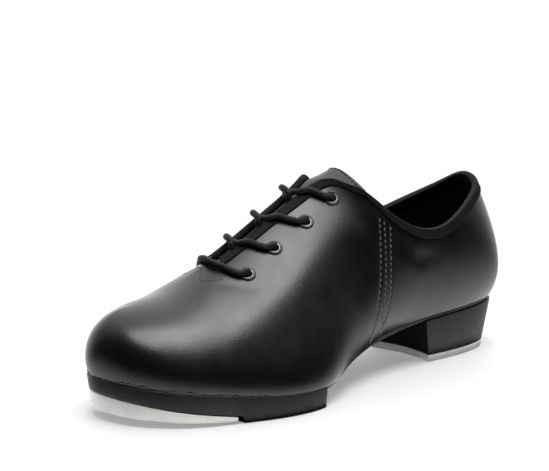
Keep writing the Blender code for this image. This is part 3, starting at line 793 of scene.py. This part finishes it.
def operate(made, node, operation, *sources):
    """Value of an operation on sockets and constants."""
    new = add(made, node)
    new.operation = operation
    for socket, source in zip(new.inputs, sources):
        if isinstance(source, bpy.types.NodeSocket):
            join(made, source, socket)
        else:
            socket.default_value = source
    return new.outputs["Value"]


def blend(made, factor, first, second, output):
    """Ends a material or a world in two shaders mixed by a factor."""
    mix = add(made, "ShaderNodeMixShader")
    join(made, factor, mix.inputs["Fac"])
    join(made, first.outputs[0], mix.inputs[1])
    join(made, second.outputs[0], mix.inputs[2])
    join(made, mix.outputs["Shader"], made.node_tree.nodes[output].inputs["Surface"])


def material(name):
    """A material from its row of looks."""
    look = LOOKS[name]
    made = bpy.data.materials.new(name)
    made.use_nodes = True
    shader = made.node_tree.nodes["Principled BSDF"]
    fill(shader, Base_Color=rgba(look.colour), Roughness=look.roughness)
    fill(shader, Metallic=look.metallic, Specular_IOR_Level=look.specular)
    if look.shades:
        shade(made, shader, look.shades)
    if look.gloss:
        source = texture(made, look.gloss.texture)
        rough = ramp(made, source, *TEXTURE_ENDS, look.gloss.high, look.gloss.low)
        join(made, rough, shader.inputs["Roughness"])
    last = None
    for layer in look.bumps:
        new = add(made, "ShaderNodeBump", Strength=layer.strength, Distance=layer.depth * MM)
        join(made, texture(made, layer.texture), new.inputs["Height"])
        if last:
            join(made, last, new.inputs["Normal"])
        last = new.outputs["Normal"]
    if last:
        join(made, last, shader.inputs["Normal"])
    return made


# Pieces
def line_points(marks, sign, count):
    """Sections and height shares along a smooth row of marks on one side."""
    fine = smooth(marks, count)
    u = fine[:, 0] if sign > 0 else LOOP - fine[:, 0]
    return u, fine[:, 1]


def trough(points, path, width, depth):
    """Depth of a soft trough along a path, for each point."""
    nearest = np.full(points.shape[:-1], np.inf)
    for a, b in zip(path[:-1], path[1:]):
        run = b - a
        along = np.clip(((points - a) @ run) / (run @ run), 0, 1)
        far = np.linalg.norm(points - a - along[..., None] * run, axis=-1)
        nearest = np.minimum(nearest, far)
    return depth * np.exp(-((nearest / width) ** 2))


def relief(points):
    """Depth of the creases and stitch grooves, less the swell, at points of the upper's outer face."""
    deep = np.zeros(points.shape[:-1])
    for c in CREASES:
        ends = np.array([c.section, c.to_section])
        u = ends if c.side > 0 else LOOP - ends
        path = skin(u, np.array([c.share, c.to_share]), 0)
        deep += trough(points, path, c.width * MM, c.depth * MM)
    lines = (
        (SEAM_FRONT, GROOVE_WIDTH, GROOVE_DEPTH),
        (SEAM_BACK, GROOVE_WIDTH, GROOVE_DEPTH),
        (SWELL_LINE, SWELL_WIDTH, -SWELL_RISE),
    )
    for marks, width, depth in lines:
        for sign in (1, -1):
            u, v = line_points(marks, sign, GROOVE_POINTS)
            deep += trough(points, skin(u, v, 0), width * MM, depth * MM)
    return deep


def laid(points, out, lift=0.0):
    """Points of the upper's outer face moved by its relief, and by a lift above it."""
    return points + (lift - relief(points))[..., None] * out


def make_upper(finish, inside):
    half = stations(UPPER_RUNS)
    u = np.concatenate([half, LOOP - half[-2:0:-1]])
    top = edge_share(u)
    rows = []
    for share in np.linspace(0, 1, WALL_STEPS + 1):
        v = top * share
        at = bend(u, v)
        rows.append(laid(skin(at, v, 0), normal(at, v)))
    for share in np.linspace(1, 0, LINING_STEPS + 1):
        rows.append(skin(bend(u, top * share), top * share, WALL))
    away = outward(u)
    tilt = (normal(u, 0 * u) * away).sum(-1, keepdims=True)
    rows[-1] = rows[0] - WALL / tilt * away
    count = len(u)
    faces = []
    inner = []
    open_top = side_of(u) < THROAT_BASE + MERGE
    for k in range(len(rows)):
        quads = band(k * count, (k + 1) % len(rows) * count, count, True)
        if k == WALL_STEPS:
            quads = [q for i, q in enumerate(quads) if open_top[i] and open_top[(i + 1) % count]]
        faces += quads
        inner += [int(WALL_STEPS < k < len(rows) - 1)] * len(quads)
    points = np.concatenate(rows)
    upper = piece("upper_leather", points, faces, finish, "upper_leather", ["upper"], (inside, inner))
    punch_holes(upper)


def eyelet_spots():
    """Name, place and axis of each eyelet."""
    for side, sign in (("outer", 1), ("inner", -1)):
        for number, spot in enumerate(EYELETS, 1):
            place, axis = over(spot.section, sign * spot.side * MM, 0)
            yield f"eyelet_{side}_{number}", place, axis


def punch_holes(upper):
    """Cuts the eyelets' holes and keeps the result as a plain mesh."""
    runs = []
    profile = ((EYELET_HOLE, -2 * EYELET_DEPTH), (EYELET_HOLE, EYELET_DEPTH))
    for _, place, axis in eyelet_spots():
        rings = lathe(place, axis, profile, EYELET_SIDES)
        runs.append((np.concatenate(rings), tube_faces(len(rings), EYELET_SIDES)))
    mesh = new_mesh("hole_cutters", *joined(runs))
    mend(mesh)
    cutter = put("hole_cutters", mesh)
    change = upper.modifiers.new("holes", "BOOLEAN")
    change.operation = "DIFFERENCE"
    change.solver = "EXACT"
    change.object = cutter
    bpy.context.view_layer.update()
    done = bpy.data.meshes.new_from_object(upper.evaluated_get(bpy.context.evaluated_depsgraph_get()))
    upper.modifiers.clear()
    upper.data = done
    bpy.data.objects.remove(cutter)


def make_binding(finish):
    """Ribbed tape folded over the collar and both throat edges."""
    half = stations(BINDING_RUNS)
    u = np.concatenate([-half[:0:-1], half])
    top = edge_share(u)
    climb = wall(u, top) - wall(u, top - SLOPE_STEP)
    rate = np.linalg.norm(climb, axis=-1) / SLOPE_STEP
    beyond = unit(climb)
    out = normal(u, top)
    low = top - read(BINDING_WIDTHS, side_of(u)) / rate
    deep = top - BINDING_INSIDE / rate
    far = GAP + BINDING_THICK
    edge = skin(u, top, WALL / 2)
    rib = RIB_RELIEF * np.cos(2 * np.pi * distances(edge) / RIB_PITCH)
    rows = [skin(u, low, -GAP), skin(u, low, -GAP - BINDING_THICK / 2)]
    for share, thick in BINDING_ROLL:
        rows.append(skin(u, low + (top - low) * share, -GAP - BINDING_THICK * thick - rib))
    for angle in np.linspace(0, np.pi, FOLD_STEPS):
        wide = (WALL / 2 + far + rib * abs(math.cos(angle))) * math.cos(angle)
        tall = (far + rib * math.sin(angle)) * math.sin(angle)
        rows.append(edge + wide[:, None] * out + tall[:, None] * beyond)
    for share in BINDING_INNER:
        rows.append(skin(u, deep + (top - deep) * share, WALL + far))
    rows.append(skin(u, deep, WALL + GAP + BINDING_THICK / 2))
    rows.append(skin(u, deep, WALL + GAP))
    rows.append(skin(u, top, WALL + GAP) + GAP * beyond)
    rows.append(skin(u, top, -GAP) + GAP * beyond)
    faces = tube_faces(len(u), len(rows))
    piece("collar_tape", np.stack(rows, 1), faces, finish, "binding_tape", ["collar_binding"])


def tongue_row(section, half):
    """Points across the tongue, kept under the upper's inner face."""
    rows, _ = over(section, np.array(TONGUE_SHARES) * half * MM, -TONGUE_DEPTH)
    centre = len(rows) // 2
    rows[centre] = (rows[centre - 1] + rows[centre + 1]) / 2 + TONGUE_CROWN * UP
    return rows


def tongue_grid():
    """Fine grid of the tongue's top face, and the direction out of it."""
    rows = [tongue_row(strip.section, strip.size) for strip in TONGUE]
    last = rows[-1]
    centre = last[len(last) // 2]
    curl = 1 + TONGUE_CURL * np.array(TONGUE_SHARES)[:, None] ** 2
    for free in TONGUE_END:
        flat = centre + (last - centre) * np.array([1, free.wide, free.arch])
        rows.append(flat + free.far * TONGUE_FREE * curl * TONGUE_RISE)
    fine = smooth(rows, TONGUE_ROWS)
    across = Spline(TONGUE_SHARES, fine.transpose(1, 0, 2))(np.linspace(-1, 1, TONGUE_COLUMNS))
    grid = across.transpose(1, 0, 2)
    out = unit(np.cross(np.gradient(grid, axis=1), np.gradient(grid, axis=0)))
    return grid, out * np.sign(out[..., 2:])


def make_tongue(finish):
    grid, out = tongue_grid()
    rows, count = grid.shape[:2]
    across = np.minimum(np.linspace(0, 1, count), np.linspace(1, 0, count))[None, :]
    along = np.linspace(1, 0, rows)[:, None]
    edge = np.clip(np.minimum(across, along) / TONGUE_EDGE, 0, 1)
    thick = TONGUE_THICK * np.sqrt(1 - (1 - edge) ** 2)
    middle = grid - TONGUE_THICK / 2 * out
    top = middle + thick[..., None] / 2 * out
    below = middle - thick[..., None] / 2 * out
    size = rows * count
    faces = sheet(0, rows, count) + sheet(size, rows, count) + band(0, size, count)
    points = np.concatenate([top.reshape(-1, 3), below.reshape(-1, 3)])
    piece("tongue_lined", points, faces, finish, "tongue_leather", ["tongue"])


def rim(u, inset):
    """Foot outline moved inwards by inset, level with the feather line."""
    return wall_at(u).foot - np.asarray(inset, float)[..., None] * outward(u)


def plate(name, sections, rings, finish, slot, node, hollow=None):
    """Solid from rings of edge points given as (inset, height of x, share of the sections), filled across."""
    shares = np.linspace(1, -1, 2 if hollow is None else HOLLOW_POINTS)
    inward = np.zeros(len(sections)) if hollow is None else hollow
    grids = []
    for inset, rise, run in rings:
        left = rim(run * sections, inset)[:, None, :]
        right = rim(LOOP - run * sections, inset)[:, None, :]
        part = (shares[None, :, None] + 1) / 2
        grid = left * part + right * (1 - part)
        grid[..., 0] = grid[..., 0] - inward[:, None] * (1 - shares[None, :] ** 2)
        grid[..., 2] = rise(grid[..., 0], sections[:, None])
        grids.append(grid)
    rows, count = grids[0].shape[:2]
    size = rows * count
    end = (len(grids) - 1) * size
    faces = sheet(0, rows, count) + sheet(end, rows, count)
    for g in range(len(grids) - 1):
        start = g * size
        for k in range(rows - 1):
            for i in (start + k * count, start + k * count + count - 1):
                faces.append([i, i + count, i + count + size, i + size])
        for k in (0, rows - 1):
            faces += band(start + k * count, start + size + k * count, count)
    piece(name, np.stack(grids), faces, finish, slot, [node])


def rounded(inset, face, bevel, top, run=1):
    """Rings of a rounded edge between a face and a side at an inset, over a share of the sections."""
    rings = []
    for angle in np.linspace(0, math.pi / 2, BEVEL_STEPS + 1):
        back = bevel * (1 - math.sin(angle))
        drop = bevel * (1 - math.cos(angle))

        def rise(x, section, drop=drop):
            return face(x, section) - drop if top else face(x, section) + drop

        rings.append((inset + back, rise, run))
    return rings if top else rings[::-1]


def under(line, drop=0.0):
    """Height function of a face that lies below a line of heights."""

    def rise(x, section):
        return line(x) - drop

    return rise


def sole_under(x, section):
    """Underside of the sole: seat, waist, the pad on the floor, then the bed of the toe tap."""
    thick = np.interp(section, (HEEL_FRONT, HEEL_FRONT + 1), (SEAT_THICK, WAIST_THICK))
    arch = FEATHER_LINE(x) - GAP - thick
    bed = TAP_HIGH_LINE(x) + GAP
    pad = arch * np.clip(1 - (section - PAD_BACK) / PAD_SLOPE, 0, 1)
    return np.where(section < PAD_FRONT + MERGE, pad, bed)


def make_sole(finish):
    sections = stations(SOLE_RUNS)
    inset = read(SOLE_EDGE, sections)
    deep = np.where(sections > PAD_BACK, SOLE_DRAFT, WAIST_DRAFT)
    rings = rounded(inset, under(FEATHER_LINE, GAP), SOLE_BEVEL, True)
    rings += rounded(inset + deep, sole_under, SOLE_BEVEL, False)
    plate("sole_moulded", sections, rings, finish, "sole_rubber", "sole")


def make_toe_tap(finish):
    rings = rounded(TAP_INSET, under(TAP_HIGH_LINE), TAP_TOP_BEVEL, True)
    rings += rounded(TAP_INSET, under(TAP_LOW_LINE), TAP_BEVEL, False)
    plate("toe_tap_cast", stations(TAP_RUNS), rings, finish, "tap_metal", "toe_tap")


def make_heel(finish, metal):
    sections = stations(HEEL_RUNS)
    hollow = BREAST_HOLLOW * np.clip((sections - HOLLOW_START) / (HEEL_FRONT - HOLLOW_START), 0, 1) ** 2
    floor = np.zeros_like
    rings = rounded(HEEL_INSET, under(FEATHER_LINE, 2 * GAP + SEAT_THICK), HEEL_BEVEL, True)
    rings += rounded(HEEL_DRAFT, under(floor, -HEEL_TAP_THICK - GAP), HEEL_BEVEL / 2, False, HEEL_LEAN)
    plate("heel_block", sections, rings, finish, "sole_rubber", "heel", hollow)
    rings = rounded(HEEL_TAP_INSET, under(floor, -HEEL_TAP_THICK), HEEL_BEVEL, True, HEEL_LEAN)
    rings += rounded(HEEL_TAP_INSET + HEEL_TAP_DRAFT, under(floor), HEEL_TAP_BEVEL, False, HEEL_LEAN)
    plate("heel_tap_cast", sections, rings, metal, "tap_metal", "heel_tap", hollow)


def make_eyelets(finish, bright):
    profile = [(row.radius * MM, row.rise * MM) for row in EYELET_RING]
    for name, place, axis in eyelet_spots():
        rings = lathe(place, axis, profile, EYELET_SIDES)
        faces = []
        shiny = []
        for k in range(len(rings)):
            after = (k + 1) % len(rings)
            faces += band(k * EYELET_SIDES, after * EYELET_SIDES, EYELET_SIDES, True)
            widest = max(profile[k][0], profile[after][0])
            shiny += [int(EYELET_BARREL < widest < EYELET_BRIGHT and profile[k][1] > 0)] * EYELET_SIDES
        piece(name + "_ring", np.concatenate(rings), faces, finish, "eyelet_metal", [name], (bright, shiny))


def lace_turns():
    """Turns of the lace, from the top outer eyelet down to the bar and up to the top inner one."""

    def strand(number, sign, steps):
        spot = EYELETS[number]
        reach = EYELETS[number - 1].section - spot.section if number else 1
        start, far = spot.section, sign * spot.side
        return [(start + t.forward * reach, t.side * far, t.lift, t.squash) for t in steps]

    def one_side(sign):
        turns = [(EYELETS[-1].section, sign * EYELETS[-1].side, END_DEPTH, 1.0)]
        for number in range(len(EYELETS) - 1, 0, -1):
            turns += strand(number, sign, IN_HOLE[1:] if number == len(EYELETS) - 1 else IN_HOLE)
            turns += strand(number, sign, UNDER_STRAND if sign > 0 else OVER_STRAND)
            sign = -sign
        return turns + strand(0, sign, IN_HOLE), sign

    first, sign = one_side(1)
    second, _ = one_side(-1)
    bar = strand(0, sign, BAR_STEPS)
    bar += strand(0, -sign, BAR_STEPS[-2::-1])
    return first + bar + second[::-1]


def make_lace(finish):
    """One braided cord along its turns, flattened where it runs under the facings."""
    turns = np.array(lace_turns())
    places, out = over(turns[:, 0], turns[:, 1] * MM, turns[:, 2] * MM)
    knots = distances(places, 0.5)
    route = Spline(knots, np.concatenate([places, out, turns[:, 3:]], axis=1))
    fine = route(np.linspace(0, knots[-1], LACE_SAMPLES))
    length = distances(fine[:, :3])
    count = int(length[-1] / LACE_STEP)
    even = np.linspace(0, length[-1], count)
    at = between(even, length, fine)
    path = at[:, :3]
    along = unit(np.gradient(path, axis=0))
    side = unit(np.cross(along, at[:, 3:6]))
    up = np.cross(side, along)
    angle = circle(LACE_SIDES)[None, :]
    turn = 2 * np.pi * even[:, None] / BRAID_PITCH
    weave = np.maximum(np.cos(BRAID_STRANDS * angle + turn), np.cos(BRAID_STRANDS * angle - turn))
    radius = LACE_RADIUS * (1 - BRAID_RELIEF + BRAID_RELIEF * weave)
    squash = np.clip(at[:, 6:], LACE_FLATTEST, 1)
    wide = (radius * np.cos(angle))[..., None] * side[:, None]
    tall = (radius * squash * np.sin(angle))[..., None] * up[:, None]
    rings = path[:, None] + wide + tall
    nodes = ["lace_bar", "lace_cross_1", "lace_cross_2", "lace_cross_3"]
    piece("lace_braided", rings, tube_faces(count, LACE_SIDES), finish, "lace_cord", nodes)


def stitch_shape():
    """One stitch with its long way along X, as points and faces."""
    angle = circle(STITCH_SIDES)
    rings = []
    for along, radius, rise in STITCH:
        ring = (np.full(STITCH_SIDES, along), radius * np.cos(angle), radius * np.sin(angle) + rise)
        rings.append(np.stack(ring, -1))
    return np.concatenate(rings), tube_faces(len(rings), STITCH_SIDES)


def stitch_run(path, out, pitch, long):
    """Stitches along a path on a surface, as points and faces that start at 0."""
    length = distances(path)
    spots = np.arange(pitch / 2, length[-1], pitch)
    place = between(spots, length, path)
    up = unit(between(spots, length, out))
    ahead = unit(between(spots, length, np.gradient(path, axis=0)))
    side = unit(np.cross(up, ahead))
    shape, quads = stitch_shape()
    points = place[:, None] + long * shape[None, :, :1] * ahead[:, None]
    points = points + THREAD * (shape[None, :, 1:2] * side[:, None] + shape[None, :, 2:] * up[:, None])
    faces = []
    for k in range(len(spots)):
        faces += [[k * len(shape) + i for i in face] for face in quads]
    return points.reshape(-1, 3), faces


def joined(runs):
    """Several runs of points and faces as one."""
    points = []
    faces = []
    for spots, quads in runs:
        faces += [[len(points) + i for i in face] for face in quads]
        points += list(spots)
    return points, faces


def make_glue(finish):
    """Uneven bead of glue above the sole, round the forefoot."""
    u = np.linspace(GLUE_START, LOOP - GLUE_START, GLUE_RINGS)
    waves = sum(np.sin(wave.rate * u + wave.shift) for wave in GLUE_WAVES)
    radius = GLUE_RADIUS * (GLUE_MEAN + GLUE_SWING * np.clip(waves, *GLUE_LIMITS))
    path = skin(u, read(GLUE_LINE, side_of(u)) / (3 * wall_at(u).rise[..., 0]), -GLUE_OUT)
    away = outward(u)
    angle = circle(GLUE_SIDES)[None, :, None]
    ring = np.cos(angle) * away[:, None] + np.sin(angle) * UP
    points = path[:, None] + radius[:, None, None] * ring
    piece("glue_bead", points, tube_faces(len(u), GLUE_SIDES), finish, "sole_rubber")


def make_seam_stitches(finish):
    runs = []
    for marks, lift in ((SEAM_FRONT, STITCH_LIFT), (SEAM_EDGE, 0.0), (SEAM_BACK, STITCH_LIFT)):
        for sign in (1, -1):
            u, v = line_points(marks, sign, SEAM_POINTS)
            out = normal(u, v)
            path = laid(skin(u, v, 0), out, lift)
            runs.append(stitch_run(path, out, SEAM_PITCH, SEAM_LONG))
    piece("seam_stitches", *joined(runs), finish, "lace_cord")


def make_tack_stitches(finish):
    runs = []
    for spots in (TACK_FRONT, TACK_SIDE, TACK_CROSS):
        fine = smooth(spots, TACK_POINTS)
        for sign in (1, -1):
            path, out = over(fine[:, 0], sign * fine[:, 1] * MM, 0)
            runs.append(stitch_run(laid(path, out, -TACK_SINK), out, TACK_PITCH, TACK_LONG))
    piece("throat_tack", *joined(runs), finish, "lace_cord")


def make_tongue_stitches(finish):
    grid, out = tongue_grid()
    row = int(TONGUE_ROWS * TONGUE_STITCH_ROW)
    inside = slice(TONGUE_STITCH_ENDS, -TONGUE_STITCH_ENDS)
    path = grid[row, inside] + TONGUE_STITCH_LIFT * out[row, inside]
    run = stitch_run(path, out[row, inside], TONGUE_STITCH_PITCH, TONGUE_STITCH_LONG)
    piece("tongue_stitches", *run, finish, "lace_cord")


# Stage
def make_camera():
    data = bpy.data.cameras.new("camera")
    data.sensor_width = SENSOR
    data.sensor_fit = "HORIZONTAL"
    data.lens = SENSOR * FOCAL / PHOTO_WIDTH
    camera = put("camera", data)
    turn = Matrix.Rotation(math.radians(CAMERA_AZIMUTH + 90), 4, "Z")
    tilt = Matrix.Rotation(math.radians(90 - CAMERA_ELEVATION), 4, "X")
    roll = Matrix.Rotation(math.radians(CAMERA_ROLL), 4, "Z")
    camera.matrix_world = Matrix.Translation(CAMERA - MIDDLE) @ turn @ tilt @ roll
    bpy.context.scene.camera = camera


def make_floor():
    """White floor that fades out into the white all round."""
    corners = [(x * FLOOR_WIDE, y * FLOOR_WIDE, -FLOOR_DROP) for x, y in ((-1, -1), (1, -1), (1, 1), (-1, 1))]
    mesh = new_mesh("floor", corners, [(0, 1, 2, 3)], 0)
    finish = material("floor_white")
    shader = finish.node_tree.nodes["Principled BSDF"]
    fill(shader, Emission_Color=WHITE, Emission_Strength=FLOOR_GLOW)
    place = add(finish, "ShaderNodeTexCoord").outputs["Object"]
    far = operate(finish, "ShaderNodeVectorMath", "LENGTH", place)
    fade = ramp(finish, far, *FLOOR_FADE, 1.0, kind="SMOOTHSTEP")
    blend(finish, fade, shader, add(finish, "ShaderNodeBsdfTransparent"), "Material Output")
    mesh.materials.append(finish)
    floor = put("floor", mesh)
    floor.visible_glossy = False


def make_shade():
    """Dark cards of painted shade, seen in reflections alone, where the floor lies in the shoe's shade."""
    (left, right), (far, near) = SHADE
    points = [(left, far, 0), (right, far, 0), (right, near, 0), (left, near, 0)]
    faces = [(0, 1, 2, 3)]
    for run in SHADE_RUNS:
        u = stations((run,))
        faces += band(len(points), len(points) + len(u), len(u))
        for edge in (u, LOOP - u):
            outline = rim(edge, -SHADE_MARGIN) - MIDDLE
            points += [(x, y, 0) for x, y, _ in outline]
    mesh = new_mesh("shade", points, faces, 0)
    mesh.materials.append(material("shade_black"))
    card = put("shade", mesh)
    card.visible_camera = False
    card.visible_diffuse = False
    card.visible_shadow = False


def area_light(box):
    """Soft box that faces straight down."""
    data = bpy.data.lights.new(box.name, "AREA")
    data.shape = "RECTANGLE"
    data.size, data.size_y = box.size
    data.energy = math.pi * box.radiance * box.size[0] * box.size[1]
    light = put(box.name, data)
    light.location = box.place
    light.visible_camera = False


def direction(azimuth, elevation):
    """Unit vector towards an azimuth and elevation in degrees."""
    turn, climb = math.radians(azimuth), math.radians(elevation)
    return math.cos(climb) * math.cos(turn), math.cos(climb) * math.sin(turn), math.sin(climb)


def make_world():
    """Plain white to the eye, lit by a pale wall behind the shoe and a pale ground, darker before the toe."""
    world = bpy.data.worlds.new("studio")
    bpy.context.scene.world = world
    world.use_nodes = True
    place = add(world, "ShaderNodeTexCoord").outputs["Generated"]

    def towards(aim):
        return operate(world, "ShaderNodeVectorMath", "DOT_PRODUCT", place, aim)

    backdrop = ramp(world, towards(direction(*BACKDROP)), BACKDROP_EDGE, 1.0, BACKDROP_LIGHT)
    below = ramp(world, towards((0, 0, -1)), HORIZON, 1 + HORIZON, 1.0)
    before_toe = ramp(world, towards(direction(*TOE_SIDE)), 0.0, 1.0, TOE_DARKNESS)
    bright = operate(world, "ShaderNodeMath", "SUBTRACT", below, before_toe)
    ground = ramp(world, bright, 0.0, GROUND_FULL, GROUND_LIGHT)
    studio = fill(world.node_tree.nodes["Background"], Color=WHITE)
    join(world, operate(world, "ShaderNodeMath", "MAXIMUM", backdrop, ground), studio.inputs["Strength"])
    seen = add(world, "ShaderNodeLightPath").outputs["Is Camera Ray"]
    white = add(world, "ShaderNodeBackground", Color=WHITE, Strength=1.0)
    blend(world, seen, studio, white, "World Output")


def make_stage():
    make_camera()
    make_floor()
    make_world()
    make_shade()
    for box in SOFTBOXES:
        area_light(box)
    bpy.context.scene.view_settings.view_transform = "Standard"


def main():
    for old in list(bpy.data.objects):
        bpy.data.objects.remove(old)
    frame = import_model()
    make_stage()
    black = material("sole_rubber")
    metal = material("tap_metal")
    inside = material("lining_cloth")
    make_upper(material("upper_leather"), inside)
    make_binding(material("binding_tape"))
    make_tongue(material("tongue_leather"))
    make_sole(black)
    make_heel(black, metal)
    make_toe_tap(metal)
    make_glue(material("glue"))
    make_eyelets(material("eyelet_enamel"), material("eyelet_nickel"))
    make_lace(material("lace_cord"))
    make_seam_stitches(material("seam_thread"))
    dark = material("dark_thread")
    make_tack_stitches(dark)
    make_tongue_stitches(dark)
    insole = frame["nodes"]["insole"]
    insole.data.materials.clear()
    insole.data.materials.append(inside)


main()
